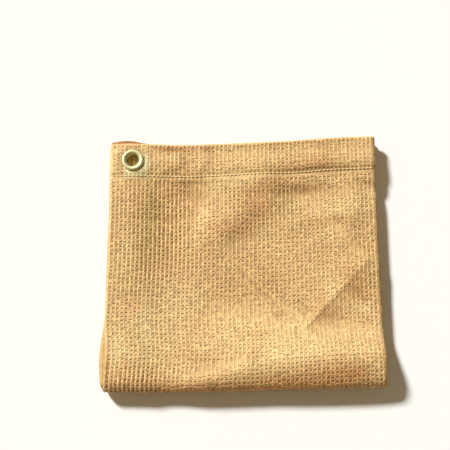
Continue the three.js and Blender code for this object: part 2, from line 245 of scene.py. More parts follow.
# The section down the cloth at x. The top pass runs to the near fold's crest, the fold is one
# quarter ellipse above and another below, and the low pass runs back under it. Turn is a quarter
# turn on the top pass, nothing at the fold's tip and minus a quarter turn on the low pass.
# Nominal is how far down the table of the sides the place lies.
def sectionAt(x, down, outerShare):
    rise, slope, tuck, nose = (along(nearFold, "x", x, n) for n in ("rise", "slope", "tuck", "nose"))
    tip = nose + cloth["foldGap"] / 2 + hemmed(hemAt(x, nose, cloth["hemStep"], cloth["hemStep"]))
    crest = tip + slope
    farTop = mix(along(farEdges, "x", x, "second"), along(farEdges, "x", x, "first"), outerShare)
    farLow = mix(along(farEdges, "x", x, "third"), along(farEdges, "x", x, "fourth"), outerShare)
    bulk = cloth["foldGap"] / 2 + cloth["thick"] / 2
    topLength = farTop - crest
    upper = quarterArc(0 * x, slope + bulk, rise + bulk)[1]
    lower = quarterArc(0 * x, tuck + bulk, rise + bulk)[1]
    upperTurn = math.pi / 2 - quarterArc((down - topLength) / upper, slope + bulk, rise + bulk)[0]
    lowerShare = (down - topLength - upper) / lower
    lowerTurn = quarterArc(1 - lowerShare, tuck + bulk, rise + bulk)[0] - math.pi / 2
    lowStart = topLength + upper + lower
    lowShare = np.clip((down - lowStart) / (cloth["length"] - lowStart), 0, 1)
    onTop, onLow = down <= topLength, down >= lowStart
    turn = np.where(down <= topLength + upper, upperTurn, lowerTurn)
    turn = np.where(onTop, math.pi / 2, np.where(onLow, -math.pi / 2, turn))
    reach = np.where(turn > 0, slope, tuck)
    rollY = tip + reach * (1 - np.cos(turn))
    y = np.where(onTop, farTop - down, np.where(onLow, mix(tip + tuck, farLow, lowShare), rollY))

    even, passLength, rollLength = (cloth[n] for n in ("evenEdge", "passLength", "rollLength"))
    stretch = (passLength - even) / (topLength - even)
    topNominal = np.where(down < even, down, even + (down - even) * stretch)
    rollNominal = passLength + rollLength * (0.5 - turn / math.pi)
    lowNominal = passLength * (1 + lowShare) + rollLength
    nominal = np.where(onTop, topNominal, np.where(onLow, lowNominal, rollNominal))
    return {"y": y, "turn": turn, "reach": reach, "rise": rise, "crest": crest,
            "onTop": onTop, "onLow": onLow, "nominal": nominal}


# A place on the cloth. Across and down are measured in the flat cloth, from the free edge of the
# outer panel and from the far edge of the top layer. The section is a U on its side, whose two
# arms are the panels and whose bend is the fold on the right, carried along the top pass, round
# the near fold and back. Lift is the height over the face that shows (side 1) or over the one
# that is folded in (side 0).
def clothPoint(across, down, lift=0.0, side=1.0):
    across, down, lift, side = np.broadcast_arrays(across, down, lift, side)
    half, arc, even, foldGap = (cloth[n] for n in ("halfWidth", "foldArc", "evenEdge", "foldGap"))
    foldTurn = math.pi / 2 - math.pi * np.clip((across - half) / arc, 0, 1)
    outerShare = (1 + np.sin(foldTurn)) / 2
    innerInset = np.minimum(2 * half + arc - across, half)
    inset = np.where(across < half + arc / 2, np.minimum(across, half), innerInset)
    edge = np.minimum(down, cloth["length"] - down)
    foldHem = 1 - ease((edge - cloth["hemDepth"]) / cloth["hemStep"])
    stretched = np.maximum(0, (inset - even) / (half - even))
    nominal = np.array(down, float)
    for _ in range(3):  # where it lies across depends on how far down it is, and the reverse
        foldX = along(sides, "down", nominal, "fold") - foldGap / 2 - hemmed(foldHem)
        outerX = along(sides, "down", nominal, "outer")
        innerX = along(sides, "down", nominal, "inner")
        edgeX = np.where(across < half, outerX, innerX)
        x = mix(edgeX + np.minimum(inset, even), foldX, stretched)
        section = sectionAt(x, down, outerShare)
        nominal = section["nominal"]
    y, turn, rise, onTop, onLow = (section[n] for n in ("y", "turn", "rise", "onTop", "onLow"))

    # the middle of the gap between the two panels, and what a layer takes of relief and groove
    thick = hemmed(hemAt(x, y, mix(cloth["hemStep"], cloth["sideEase"], outerShare), cloth["hemStep"]))
    lowMiddle = foldGap / 2 + thick
    stackMiddle = 3 * (foldGap / 2 + hemmed(hemAt(x, y, *cloth["stackStep"]))) + cloth["layGap"]
    climbLength = along(nearFold, "x", x, "climb")
    climb = ease((section["crest"] + climbLength - y) / climbLength)
    topMiddle = mix(stackMiddle, lowMiddle + 2 * rise, climb)
    rollMiddle = lowMiddle + rise * (1 + np.sin(turn))
    middle = np.where(onTop, topMiddle, np.where(onLow, lowMiddle, rollMiddle))
    first, second, third, fourth = cloth["follow"]
    topShare = (1 + np.sin(turn)) / 2
    following = mix(mix(third, fourth, outerShare), mix(second, first, outerShare), topShare)
    fromFar = along(farEdges, "x", x, "first") - y
    depth, width = cloth["groove"]
    sewnIn = depth * np.exp(-(((fromFar - cloth["hemDepth"]) / width) ** 2))
    groove = np.where(onTop, sewnIn, 0) * outerShare * side

    # out from that middle, along the section's normal, by half the gap and the cloth's thickness
    nearEdge = np.minimum(inset, edge)
    worn = mix(cloth["edgeKeep"], 1, ease(nearEdge / cloth["edgeRound"]))
    offset = foldGap / 2 + side * thick * worn + np.where(side > 0.5, lift, -lift)
    normalY, normalZ = -np.cos(turn) / section["reach"], np.sin(turn) / rise
    size = np.hypot(normalY, normalZ)
    out = offset * np.sin(foldTurn)
    return np.stack([
        x + offset * np.cos(foldTurn) - cloth["centre"][0],
        y + normalY / size * out - cloth["centre"][1],
        middle + normalZ / size * out + reliefAt(x, y) * following - groove,
    ], -1)


# Colours are written as sRGB hex and turned to linear here.
def linear(hexColour):
    parts = [int(hexColour[i:i + 2], 16) / 255 for i in (0, 2, 4)]
    return [p / 12.92 if p <= 0.04045 else ((p + 0.055) / 1.055) ** 2.4 for p in parts] + [1.0]


# A node with its settings, by the names of properties or the names or numbers of inputs, and its
# links, by the names of inputs, or i and their numbers.
def addNode(tree, kind, settings=None, **links):
    node = tree.nodes.new("ShaderNode" + kind)
    for name, value in (settings or {}).items():
        if isinstance(name, str) and hasattr(node, name):
            setattr(node, name, value)
        else:
            node.inputs[name].default_value = value
    for name, source in links.items():
        index = int(name[1:]) if name[0] == "i" and name[1:].isdigit() else name.replace("_", " ")
        socket = source if isinstance(source, bpy.types.NodeSocket) else source.outputs[0]
        tree.links.new(socket, node.inputs[index])
    return node


def newMaterial(name, settings):
    material = bpy.data.materials.new(name)
    material.use_nodes = True
    tree = material.node_tree
    tree.nodes.clear()
    shader = addNode(tree, "BsdfPrincipled", settings)
    addNode(tree, "OutputMaterial", Surface=shader)
    return material, tree, shader


# A mesh object from arrays of points in millimetres and faces, with a flat-cloth UV in metres and
# any point attributes.
def meshPiece(name, points, faces, material, flat=None, attributes=None):
    mesh = bpy.data.meshes.new(name)
    faces = np.asarray(faces, np.int32)
    corners = faces.ravel()
    mesh.vertices.add(len(points))
    mesh.vertices.foreach_set("co", (np.asarray(points) * metre).astype(np.float32).ravel())
    mesh.loops.add(faces.size)
    mesh.loops.foreach_set("vertex_index", corners)
    mesh.polygons.add(len(faces))
    mesh.polygons.foreach_set("loop_start", np.arange(0, faces.size, faces.shape[1], dtype=np.int32))
    mesh.update(calc_edges=True)
    mesh.polygons.foreach_set("use_smooth", np.ones(len(faces), bool))
    if flat is not None:
        layer = mesh.uv_layers.new(name="flatCloth")
        layer.data.foreach_set("uv", (np.asarray(flat)[corners] * metre).astype(np.float32).ravel())
    for key, values in (attributes or {}).items():
        layer = mesh.attributes.new(key, "FLOAT", "POINT")
        layer.data.foreach_set("value", np.asarray(values, np.float32))
    mesh.materials.append(material)
    obj = bpy.data.objects.new(name, mesh)
    bpy.context.scene.collection.objects.link(obj)
    return obj


# Knitted polyethylene tape and thread: matt tan, ribs brighter than the gaps, small dark holes; the dark
# of the gaps and the holes is painted shade.
knitLook = {
    "rib": "F4CE90",
    # painted shade: the gaps between the ribs lie lower and are painted darker, as shade falls there
    "gap": "8E540A",
    # painted shade: each hole is painted dark as the shaded layer beneath it, lighter in the hems
    "hole": "6A3804",
    "hemHole": "A27434",
    # partly painted shade: the brown of pulled-open knit, and shade painted along creases, grooves,
    # folds and edges
    "openAndShade": "A26A34",
    "patch": "EFE3AC",
    "reddish": "E0AC7C",
    "green": "D2BE7A",
    # painted light: paler where light falls on the knit, and in part paler weathered tape
    "pale": "FFE2A4",
    # painted shade, warm brown: on the creases' shaded sides and the near fold's front
    "warmShade": "D08C4C",
    "gapPower": 1.35,  # how fast a gap darkens as its ribs stand further apart
    "holeWide": 0.15,  # half width of a hole, in ribs
    "holeTall": 0.22,  # half height, in stitches
    "holeReach": (0.75, 1.3),  # least and most of that size that a hole has
    "holePulled": 0.4,  # and what it gains where the knit is pulled open
    "holeSoft": 0.35,  # its soft edge, to either side
    "holeShown": (0.4, 0.06),  # its strength between ribs that stand apart, and everywhere
    "wander": (0.33, 0.35),  # scale to a stitch, width in stitches
    "fibres": (9.0, 2.2),  # slivers to a rib and to a stitch
    "fibreLevel": (0.76, 1.16),
    "mottle": 1.1,  # scale to a stitch
    "mottleLevel": (0.86, 1.1),
    "broad": 0.07,  # scale to a stitch
    "broadRed": (0.45, 0.75, 0.35),  # where it reddens from, where fully, and how far
    "apartLevel": (0.1, 0.96),  # where the ribs stand apart they are this much brighter
    "plastic": {"Roughness": 0.68, "IOR": 1.5, "Specular IOR Level": 0.25},
    "bump": {"Strength": 0.5, "Distance": 0.15 * metre},
    "bumpShares": (0.5, 0.4, -0.3),  # of the ribs, the fibres and the holes
}


def knitMaterial(name, holes=True):
    look = knitLook
    material, tree, shader = newMaterial(name, look["plastic"])
    add = lambda kind, settings=None, **links: addNode(tree, kind, settings, **links)
    keys = ("ribbed", "openAndShade", "green", "warmShade", "pale", "patch", "tone")
    read = {key: add("Attribute", {"attribute_name": key}).outputs["Fac"] for key in keys}
    uv = add("UVMap", {"uv_map": "flatCloth"})
    perRib, perStitch = 1 / (cloth["wale"] * metre), 1 / (cloth["course"] * metre)
    cells = add("Mapping", {"Scale": (perRib, perStitch, 1.0)}, Vector=uv)
    # the knit is never quite square: the pattern wanders by about a tenth of a stitch
    scale, width = look["wander"]
    wander = add("TexNoise", {"Scale": scale, "Detail": 2.0}, Vector=cells)
    off = add("VectorMath", {"operation": "SUBTRACT", 1: (0.5, 0.5, 0.5)}, i0=wander.outputs["Color"])
    off = add("VectorMath", {"operation": "SCALE", "Scale": width}, i0=off)
    moved = add("VectorMath", {"operation": "ADD"}, i0=cells, i1=off)
    # a hole in the gap at every stitch, each an ellipse of its own size, painted dark as shade
    shifted = add("VectorMath", {"operation": "ADD", 1: (0.5, 0.5, 0.0)}, i0=moved)
    whole = add("VectorMath", {"operation": "FLOOR"}, i0=shifted)
    inCell = add("VectorMath", {"operation": "SUBTRACT"}, i0=shifted, i1=whole)
    centred = add("VectorMath", {"operation": "SUBTRACT", 1: (0.5, 0.5, 0.0)}, i0=inCell)
    perWide, perTall = 1 / look["holeWide"], 1 / look["holeTall"]
    scaled = add("VectorMath", {"operation": "MULTIPLY", 1: (perWide, perTall, 0.0)}, i0=centred)
    away = add("VectorMath", {"operation": "LENGTH"}, i0=scaled)
    chance = add("TexWhiteNoise", {"noise_dimensions": "2D"}, Vector=whole)
    least, most = look["holeReach"]
    reach = add("MapRange", {"To Min": least, "To Max": most}, Value=chance)
    pulled = look["holePulled"]
    reach = add("Math", {"operation": "MULTIPLY_ADD", 1: pulled}, i0=read["openAndShade"], i2=reach)
    edge = add("Math", {"operation": "SUBTRACT"}, i0=reach, i1=away.outputs["Value"])
    soft = look["holeSoft"]
    fading = {"From Min": -soft, "From Max": soft, "interpolation_type": "SMOOTHSTEP"}
    hole = add("MapRange", fading, Value=edge)
    # rib against gap: a cosine across the wale
    parts = add("SeparateXYZ", None, Vector=centred)
    turns = add("Math", {"operation": "MULTIPLY", 1: 2 * math.pi}, i0=parts.outputs["X"])
    cosine = add("Math", {"operation": "COSINE"}, i0=turns)
    rib = add("MapRange", {"From Min": 1.0, "From Max": -0.6}, Value=cosine)
    # how much of a gap's painted shade shows follows how far the ribs stand apart there
    sunk = add("Math", {"operation": "SUBTRACT", 0: 1.0}, i1=rib)
    apart = add("Math", {"operation": "POWER", 1: look["gapPower"]}, i0=read["ribbed"])
    sunk = add("Math", {"operation": "MULTIPLY"}, i0=sunk, i1=apart)
    # slivers of tape and thread, drawn as coarse as they need to be to show
    fibre = add("Mapping", {"Scale": (*look["fibres"], 1.0)}, Vector=cells)
    fibres = add("TexNoise", {"Scale": 1.0, "Detail": 3.0, "Roughness": 0.6}, Vector=fibre)
    mottle = add("TexNoise", {"Scale": look["mottle"], "Detail": 3.0}, Vector=cells)
    broad = add("TexNoise", {"Scale": look["broad"], "Detail": 2.0}, Vector=cells)

    base = add("Mix", {"data_type": "RGBA", 6: linear(look["rib"]), 7: linear(look["gap"])}, i0=sunk)
    least, most, red = look["broadRed"]
    redness = add("MapRange", {"From Min": least, "From Max": most, "To Max": red}, Value=broad)
    for tint in ("reddish", "green", "warmShade", "pale", "openAndShade", "patch"):
        share = redness if tint == "reddish" else read[tint]
        base = add("Mix", {"data_type": "RGBA", 7: linear(look[tint])}, i0=share, i6=base.outputs[2])
    # the holes' painted shade, lighter in the hems
    if holes:
        inField, inHem = linear(look["hole"]), linear(look["hemHole"])
        hem = add("Attribute", {"attribute_name": "hem"}).outputs["Fac"]
        dark = add("Mix", {"data_type": "RGBA", 6: inField, 7: inHem}, i0=hem)
        between, anywhere = look["holeShown"]
        shown = add("Math", {"operation": "MULTIPLY_ADD", 1: between, 2: anywhere}, i0=read["ribbed"])
        shown = add("Math", {"operation": "MULTIPLY"}, i0=shown, i1=hole)
        base = add("Mix", {"data_type": "RGBA"}, i0=shown, i6=base.outputs[2], i7=dark.outputs[2])
    levels = []
    for pattern, (darkest, brightest) in ((fibres, look["fibreLevel"]), (mottle, look["mottleLevel"])):
        span = {"From Min": 0.3, "From Max": 0.7, "To Min": darkest, "To Max": brightest}
        levels.append(add("MapRange", span, Value=pattern))
    added, start = look["apartLevel"]
    levels.append(add("Math", {"operation": "MULTIPLY_ADD", 1: added, 2: start}, i0=apart))
    value = levels[0]
    for level in levels[1:] + [read["tone"]]:
        value = add("Math", {"operation": "MULTIPLY"}, i0=value, i1=level)
    colour = add("HueSaturation", None, Color=base.outputs[2], Value=value)
    ribShare, fibreShare, holeShare = look["bumpShares"]
    height = add("Math", {"operation": "MULTIPLY", 1: holeShare}, i0=hole)
    height = add("Math", {"operation": "MULTIPLY_ADD", 1: ribShare}, i0=rib, i2=height)
    height = add("Math", {"operation": "MULTIPLY_ADD", 1: fibreShare}, i0=fibres, i2=height)
    bump = add("Bump", look["bump"], Height=height)
    tree.links.new(colour.outputs[0], shader.inputs["Base Color"])
    tree.links.new(bump.outputs[0], shader.inputs["Normal"])
    return material


# Distance in the flat cloth from the hem's seam and from the corner's box.
def fromSeams(across, down):
    boxed = (across < cloth["halfWidth"] / 2) & (down < cloth["hemDepth"] + cloth["seamPast"])
    fromCorner = np.where(boxed, np.abs(across - cloth["cornerWidth"]), np.inf)
    fromHem = np.abs(np.minimum(down, cloth["length"] - down) - cloth["hemDepth"])
    return np.minimum(fromHem, fromCorner)


# Places in the flat cloth, each across, down, half width, half height and amount. Ribbed says how
# clearly the ribs stand apart, and so how much painted shade shows in their gaps; open, where the knit
# is pulled apart and its gaps show brown, and where shade is painted along creases, grooves, folds and
# edges; pale, painted light where light falls on the knit, partly paler weathered tape; green, where
# the tapes turn greener; warm, painted shade in warm brown on shaded creases and the near fold's front.
zones = {
    "ribbed": [
        (44, 80, 24, 60, 0.92), (150, 55, 26, 20, 0.6), (205, 100, 36, 44, 0.22),
        (170, 182, 70, 22, 0.08), (30, 182, 34, 20, 0.34), (66, 142, 26, 18, 0.3),
        (24, 220, 26, 13, 1.0), (100, 220, 40, 10, 0.3), (195, 222, 50, 10, 0.6),
        (244, 130, 8, 40, 0.7), (480, 18, 9, 9, 1.0), (20, 14, 22, 18, 0.1),
    ],
    # pulled-open knit, and painted shade: on shaded creases, above the far seam, along the fold on the
    # right and at the layers' edges
    "openAndShade": [
        (187, 49, 16, 5, 0.55), (203, 27, 14, 4, 0.45), (215, 81, 20, 5, 0.4),
        (175, 92, 16, 7, 0.2), (196, 109, 16, 6, 0.2), (157, 165, 10, 6, 0.25),
        (179, 162, 7, 8, 0.25), (201, 170, 12, 6, 0.3), (231, 150, 8, 7, 0.3),
        (92, 99, 5, 5, 0.3), (87, 52, 14, 8, 0.25), (47, 73, 14, 5, 0.2),
        (132, 183, 10, 5, 0.2), (132, 200, 6, 8, 0.2), (88, 202, 14, 5, 0.2),
        (150, 221, 16, 5, 0.2), (26, 78, 4, 60, 0.2), (38, 66, 7, 32, 0.18),
        (58, 5, 19, 2.6, 0.8), (91, 5, 6, 2.6, 0.8), (176, 3.6, 60, 1.8, 0.4),
        (66, 37, 34, 3.2, 0.3), (10, 18, 4, 12, 0.3), (16, 3, 14, 6, 0.25),
        (144, 43, 16, 9, 0.3), (139, 60, 10, 12, 0.15), (190, 82, 20, 8, 0.2),
        (204, 20, 7, 18, 0.18), (150, 130, 12, 16, 0.15), (484, 1, 24, 1.6, 1.0),
        (195, 29, 34, 2.0, 0.5), (253, 8, 1.6, 16, 1.0), (253, 135, 1.6, 36, 0.9),
        (2, 207, 2.2, 14, 0.6),
    ],
    # painted light where light falls on the knit, in part paler weathered tape
    "pale": [
        (37, 172, 6, 26, 0.75), (9, 195, 8, 18, 0.7), (70, 150, 28, 30, 0.25),
        (244, 223, 12, 8, 0.5), (207, 150, 7, 9, 0.65), (18, 100, 8, 30, 0.2),
        (130, 38, 22, 4, 0.4), (24, 27, 14, 4, 0.4), (212, 70, 20, 4, 0.3),
        (238, 125, 12, 9, 0.3), (235, 165, 14, 4, 0.3), (175, 203, 26, 5, 0.3),
    ],
    "green": [
        (38, 70, 7, 34, 0.55), (36, 34, 5, 12, 0.4), (33, 180, 8, 26, 0.2),
        (190, 184, 50, 12, 0.2), (100, 40, 26, 8, 0.2), (480, 18, 9, 9, 0.6),
        (497, 205, 7, 30, 0.4),
    ],
    # painted shade in warm brown, on shaded creases, folds and edges
    "warmShade": [
        (228, 135, 14, 20, 0.35), (203, 155, 12, 14, 0.35), (136, 62, 16, 16, 0.3),
        (112, 84, 20, 10, 0.25), (156, 42, 22, 9, 0.2), (76, 54, 12, 26, 0.15),
        (120, 135, 60, 26, 0.15), (150, 231, 130, 9, 0.6), (10, 200, 8, 22, 0.2),
        (222, 224, 44, 8, 0.6), (190, 22, 26, 6, 0.2),
    ],
}


# How the knit lies between those places, and how its looks fade at the hems.
knitField = {
    "ribbed": 0.38,
    "weight": 0.25,  # of the field beside a place's own
    "leastRelief": 0.09,  # share of its full relief that the knit keeps where its ribs lie close
    "addedRelief": 0.42,  # and what it gains where they stand apart
    "hemIn": 2.0,  # the side hem's look begins to fade this far inside its depth
    "sideFade": 6.0,
    "farFade": 3.0,
    "patch": (12.0, 37.0, 10.0, 34.0),  # from and to across, from and to down, round the eyelet
    "patchFade": 6.0,
    "patchRim": 0.3,  # how far it has faded in on its own border
}


def zoneWeight(across, down, place):  # 1 in its middle, e to the minus one at its half sizes
    middleAcross, middleDown, wide, tall, _ = place
    return np.exp(-((across - middleAcross) / wide) ** 2 - ((down - middleDown) / tall) ** 2)


def ribbedAt(across, down):  # mean of the field's value and the places', each by its weight
    weights = [knitField["weight"]] + [zoneWeight(across, down, p) for p in zones["ribbed"]]
    amounts = [knitField["ribbed"]] + [p[4] for p in zones["ribbed"]]
    return sum(w * a for w, a in zip(weights, amounts)) / sum(weights)


def standing(across, down):  # share of its full relief that the knit keeps at a place
    return knitField["leastRelief"] + knitField["addedRelief"] * ribbedAt(across, down)


# What the knit's material reads: the hems and the pale patch by their fading distances, and for
# each tint the strongest of its places.
def knitAttributes(across, down):
    last = 2 * cloth["halfWidth"] + cloth["foldArc"]
    fromSide = np.minimum(across, last - across)
    fromFar = np.minimum(down, cloth["length"] - down)
    sideHem = 1 - ease((fromSide - cloth["sideHem"] + knitField["hemIn"]) / knitField["sideFade"])
    farHem = 1 - ease((fromFar - cloth["hemDepth"]) / knitField["farFade"])
    left, right, top, bottom = knitField["patch"]
    inside = np.minimum(np.minimum(across - left, right - across), np.minimum(down - top, bottom - down))
    looks = {
        "hem": np.maximum(sideHem, farHem),
        "patch": ease(inside / knitField["patchFade"] + knitField["patchRim"]),
    }
    for key in ("openAndShade", "pale", "green", "warmShade"):
        looks[key] = np.max([zoneWeight(across, down, p) * p[4] for p in zones[key]], axis=0)
    looks["ribbed"] = ribbedAt(across, down)
    return looks


# The sheet itself, one closed skin on all its folds. Two rows for each stitch and two columns for
# each rib carry the ribs and the gaps between them; the panel that is folded in has fewer columns.
sheet = {
    "seed": 7,
    "gapDeep": 0.13,
    "gapUneven": (0.7, 1.25),
    "slack": 0.06,  # spread of the knit's own unevenness
    "rim": (0.0, 0.45, 1.1),  # rows and columns that round off a free edge
    "rimFade": 2.5,  # the relief comes in over this distance from an edge
    "reliefPast": 0.5,  # and ends this far round the fold on the right
    "foldColumns": 5,
    "hiddenColumns": 18,
    "hiddenIn": (12.0, 32.0),  # their distance from the fold, and from the free edge
    "fineColumns": 16,  # at the inner panel's free edge
    "opening": 6.6,  # radius of the hole for the eyelet
    "lip": 12.0,  # edges left within this distance are drawn to its circle
    "tone": (0.88, 1.08),
}


def sheetGrid():
    wale, course, half, arc = (cloth[n] for n in ("wale", "course", "halfWidth", "foldArc"))
    rim = np.array(sheet["rim"])
    last = 2 * half + arc
    fromFold, fromEdge = sheet["hiddenIn"]
    columns = np.concatenate([
        rim,
        np.arange(1, 2 * cloth["ribs"] + 1) * wale / 2,
        half + arc * (np.arange(1, sheet["foldColumns"] + 1) / sheet["foldColumns"]),
        np.linspace(half + arc + fromFold, last - fromEdge, sheet["hiddenColumns"]),
        last - wale / 2 * np.arange(sheet["fineColumns"], 0, -1),
        last - rim[::-1],
    ])
    rows = np.arange(1, int(cloth["length"] / course * 2)) * course / 2
    rows = np.concatenate([rim, rows, cloth["length"] - rim[::-1]])
    return columns, rows


# Depth of the knit below the ribs, a cosine across the wale: nothing on a rib, which stands at a
# half wale, and most in a gap, at a whole one, uneven from place to place.
def knitDepth(across, rng):
    gap = (1 + np.cos(2 * math.pi * across / cloth["wale"])) / 2
    uneven = rng.uniform(*sheet["gapUneven"], np.shape(across))
    return gap * sheet["gapDeep"] * uneven + np.abs(rng.normal(0, sheet["slack"], np.shape(across)))


# Edges that only one face runs along, each in the direction of its face.
def openEdges(faces):
    starts = faces.ravel()
    ends = np.roll(faces, -1, axis=1).ravel()
    size = int(faces.max()) + 1
    lone = ~np.isin(starts.astype(np.int64) * size + ends, ends.astype(np.int64) * size + starts)
    return starts[lone], ends[lone]


# Two skins on one grid, the face that shows with the knit's relief and the one that is folded in,
# joined by a wall along every open edge.
def makeSheet(material):
    rng = np.random.default_rng(sheet["seed"])
    columns, rows = sheetGrid()
    across, down = np.meshgrid(columns, rows)
    fromRim = np.minimum(across, np.minimum(down, cloth["length"] - down))
    inRelief = across < cloth["halfWidth"] + sheet["reliefPast"]
    share = np.where(inRelief, ease(fromRim / sheet["rimFade"]), 0)
    depth = knitDepth(across, rng) * share * standing(across, down)
    shown = clothPoint(across, down, -depth, 1.0).reshape(-1, 3)
    hidden = clothPoint(across, down, 0.0, 0.0).reshape(-1, 3)
    tall, wide = across.shape
    index = np.arange(tall * wide).reshape(tall, wide)
    a, b, c, d = index[:-1, :-1], index[1:, :-1], index[1:, 1:], index[:-1, 1:]
    top = np.stack([a, b, c, d], -1).reshape(-1, 4)
    # the eyelet's hole through the first layer: faces go, and the edge left is drawn to its circle
    near = (across.ravel() < cloth["halfWidth"]) & (down.ravel() < eyelet["within"])
    away = np.where(near, np.hypot(*(shown[:, :2] - eyeletAxis).T), np.inf)
    top = top[away[top].min(1) > sheet["opening"]]
    starts, ends = openEdges(top)
    lip = starts[away[starts] < sheet["lip"]]
    for skin in (shown, hidden):
        outward = (skin[lip, :2] - eyeletAxis) / away[lip, None]
        skin[lip, :2] = eyeletAxis + outward * sheet["opening"]
    back = tall * wide
    wall = np.stack([ends, starts, starts + back, ends + back], -1)
    faces = np.concatenate([top, top[:, ::-1] + back, wall])
    flat = np.stack([across.ravel(), down.ravel()], -1)
    twice = lambda values: np.concatenate([values, values])
    looks = {"tone": rng.uniform(*sheet["tone"], 2 * across.size)}
    for key, values in knitAttributes(*flat.T).items():
        looks[key] = twice(values)
    return meshPiece("shade_cloth", np.concatenate([shown, hidden]), faces, material, twice(flat), looks)


knit = knitMaterial("knitted_polyethylene")
shadeCloth = makeSheet(knit)
print("sheet made", len(shadeCloth.data.polygons))


# Yarn in grains of 16 triangles, each between two places in the flat cloth.
grain = {
    "rings": (0.28, 0.72),  # where its two rings stand, in shares of its length
    "sideways": (-1.0, -0.45, 0.45, 1.0),  # a ring's corners, in half widths
    "upright": (-0.8, 1.0, 1.0, -0.8),  # and in half heights
    "clear": 0.02,  # every grain is lifted this far, and none lies closer to the floor
    "sunk": -0.2,  # its height at a seam, where the stitches draw it in
    "seamFade": 2.6,
    "fromEdge": 0.3,
    "underFlange": 0.4,  # how far it may run in under the eyelet's flange
}


# A grain is flat on top with sloping sides, widest in the middle, and ends in two points. High is
# the height of its middle over the sheet, dip how much lower its ends lie.
def makeGrains(name, material, start, end, halfWide, halfTall, high, dip, tone):
    count = len(start)
    shares = np.array([0.0, *grain["rings"], 1.0])[None, :, None]
    line = mix(start[:, None], end[:, None], shares)
    beside = (end - start)[:, ::-1] * [1, -1]
    beside = (beside / np.linalg.norm(beside, axis=1, keepdims=True))[:, None]
    sideways = np.array(grain["sideways"])[:, None]
    ring = line[:, 1:3, None] + (beside * halfWide[:, None, None])[:, :, None] * sideways
    upright = halfTall[:, None, None] * np.array(grain["upright"])
    ringHigh = high[:, None, None] + upright + np.zeros((1, 2, 1))
    tipHigh = (high - dip)[:, None]
    flat = np.concatenate([line[:, :1], ring.reshape(count, 8, 2), line[:, 3:]], 1)
    lift = np.concatenate([tipHigh, ringHigh.reshape(count, 8), tipHigh], 1)
    across = flat[..., 0]
    down = np.clip(flat[..., 1], grain["fromEdge"], cloth["length"] - grain["fromEdge"])
    lift = lift * standing(across, down) + grain["clear"]
    lift = mix(grain["sunk"], lift, ease(fromSeams(across, down) / grain["seamFade"]))
    points = clothPoint(across, down, lift, 1.0)
    points[..., 2] = np.maximum(points[..., 2], grain["clear"])

    # no grain lies under the eyelet
    away = np.hypot(*(points[..., :2].mean(1) - eyeletAxis).T)
    kept = (away > eyelet["flange"] - grain["underFlange"]) | (down.mean(1) > eyelet["within"])
    points, across, down, tone = points[kept], across[kept], down[kept], tone[kept]
    count = len(points)

    # points in order: one end, four corners of each ring, the other end
    around = [(k, (k + 1) % 4) for k in range(4)]
    near = [(0, 1 + k, 1 + after) for k, after in around]
    band = []
    for k, after in around:
        band += [(1 + k, 5 + k, 5 + after), (1 + k, 5 + after, 1 + after)]
    far = [(9, 5 + after, 5 + k) for k, after in around]
    faces = (np.array(near + band + far)[None] + (np.arange(count) * 10)[:, None, None]).reshape(-1, 3)
    flat = np.stack([across.ravel(), down.ravel()], -1)
    looks = {"tone": np.repeat(tone, 10), **knitAttributes(*flat.T)}
    obj = meshPiece(name, points.reshape(-1, 3), faces, material, flat, looks)
    above = np.array([True, True, True, False])  # the underside meets the rest at a sharp edge
    smooth = np.concatenate([above, np.repeat(above, 2), above])
    obj.data.polygons.foreach_set("use_smooth", np.tile(smooth, count))
    return obj


# Chain stitches along every rib: each is two crossed grains that dip under the next, the one that
# leans right on top, and they lean less where the ribs stand apart.
chain = {
    "seed": 11,
    "lastDown": 246.0,  # past the near fold
    "upper": 1.0,  # how far a grain's upper end lies from the rib's middle
    "lower": 0.9,  # and its lower end, on the other side
    "lean": (0.6, 0.38),  # share of both, and how much of it goes where the ribs stand apart
    "reach": 0.7,  # half length, in stitches
    "halfWide": 0.72,
    "halfTall": 0.075,
    "high": 0.035,
    "under": 0.06,  # how much lower the grain that leans left lies
    # painted light and shade: the grain that leans right is painted lighter, the one that leans left
    # darker
    "leanLightAndShade": 0.04,  # and how much darker it is
    "dip": 0.06,
    "uneven": {  # spreads
        "across": 0.08, "down": 0.3, "end": 0.1, "size": 0.1, "high": 0.03, "dip": 0.2, "tone": 0.11},
}


def makeChains(material):
    rng = np.random.default_rng(chain["seed"])
    wale, reach = cloth["wale"], chain["reach"] * cloth["course"]
    ribs = (np.arange(cloth["ribs"] + 1) + 0.5) * wale
    ribs[-1] = cloth["halfWidth"] + cloth["foldArc"] / 2
    stitches = np.arange(1, int(chain["lastDown"] / cloth["course"])) * cloth["course"]
    rib, stitch, hand = (v.ravel() for v in np.meshgrid(ribs, stitches, [-1.0, 1.0], indexing="ij"))
    jitter = lambda name: rng.normal(0, chain["uneven"][name], len(rib))
    shift = jitter("across")
    stitch = stitch + jitter("down")
    most, lost = chain["lean"]
    lean = hand * (most - lost * ribbedAt(rib, stitch))
    startAcross = rib - lean * chain["lower"] + shift + jitter("end")
    start = np.stack([startAcross, stitch + reach + jitter("end")], -1)
    endAcross = rib + lean * chain["upper"] + shift + jitter("end")
    end = np.stack([endAcross, stitch - reach + jitter("end")], -1)
    halfWide = chain["halfWide"] * (1 + jitter("size"))
    halfTall = chain["halfTall"] * (1 + jitter("size"))
    high = chain["high"] - np.where(hand < 0, chain["under"], 0) + jitter("high")
    dip = chain["dip"] * (1 + jitter("dip"))
    # painted light on the grains that lean right and painted shade on those that lean left
    tone = 1 + chain["leanLightAndShade"] * hand + jitter("tone")
    return makeGrains("chain_stitches", material, start, end, halfWide, halfTall, high, dip, tone)


# Between the ribs a flat tape crosses at every stitch, its ends tucked under them.
tape = {
    "seed": 12,
    "halfLong": 0.62,  # in ribs
    "halfWide": 1.45,
    "halfTall": 0.025,
    "high": -0.07,
    "dip": 0.05,
    "tone": 0.95,
    "uneven": {
        "down": 0.45, "slant": 0.3, "end": 0.15, "wide": 0.15, "tall": 0.1, "high": 0.02, "dip": 0.01,
        "tone": 0.1},
}


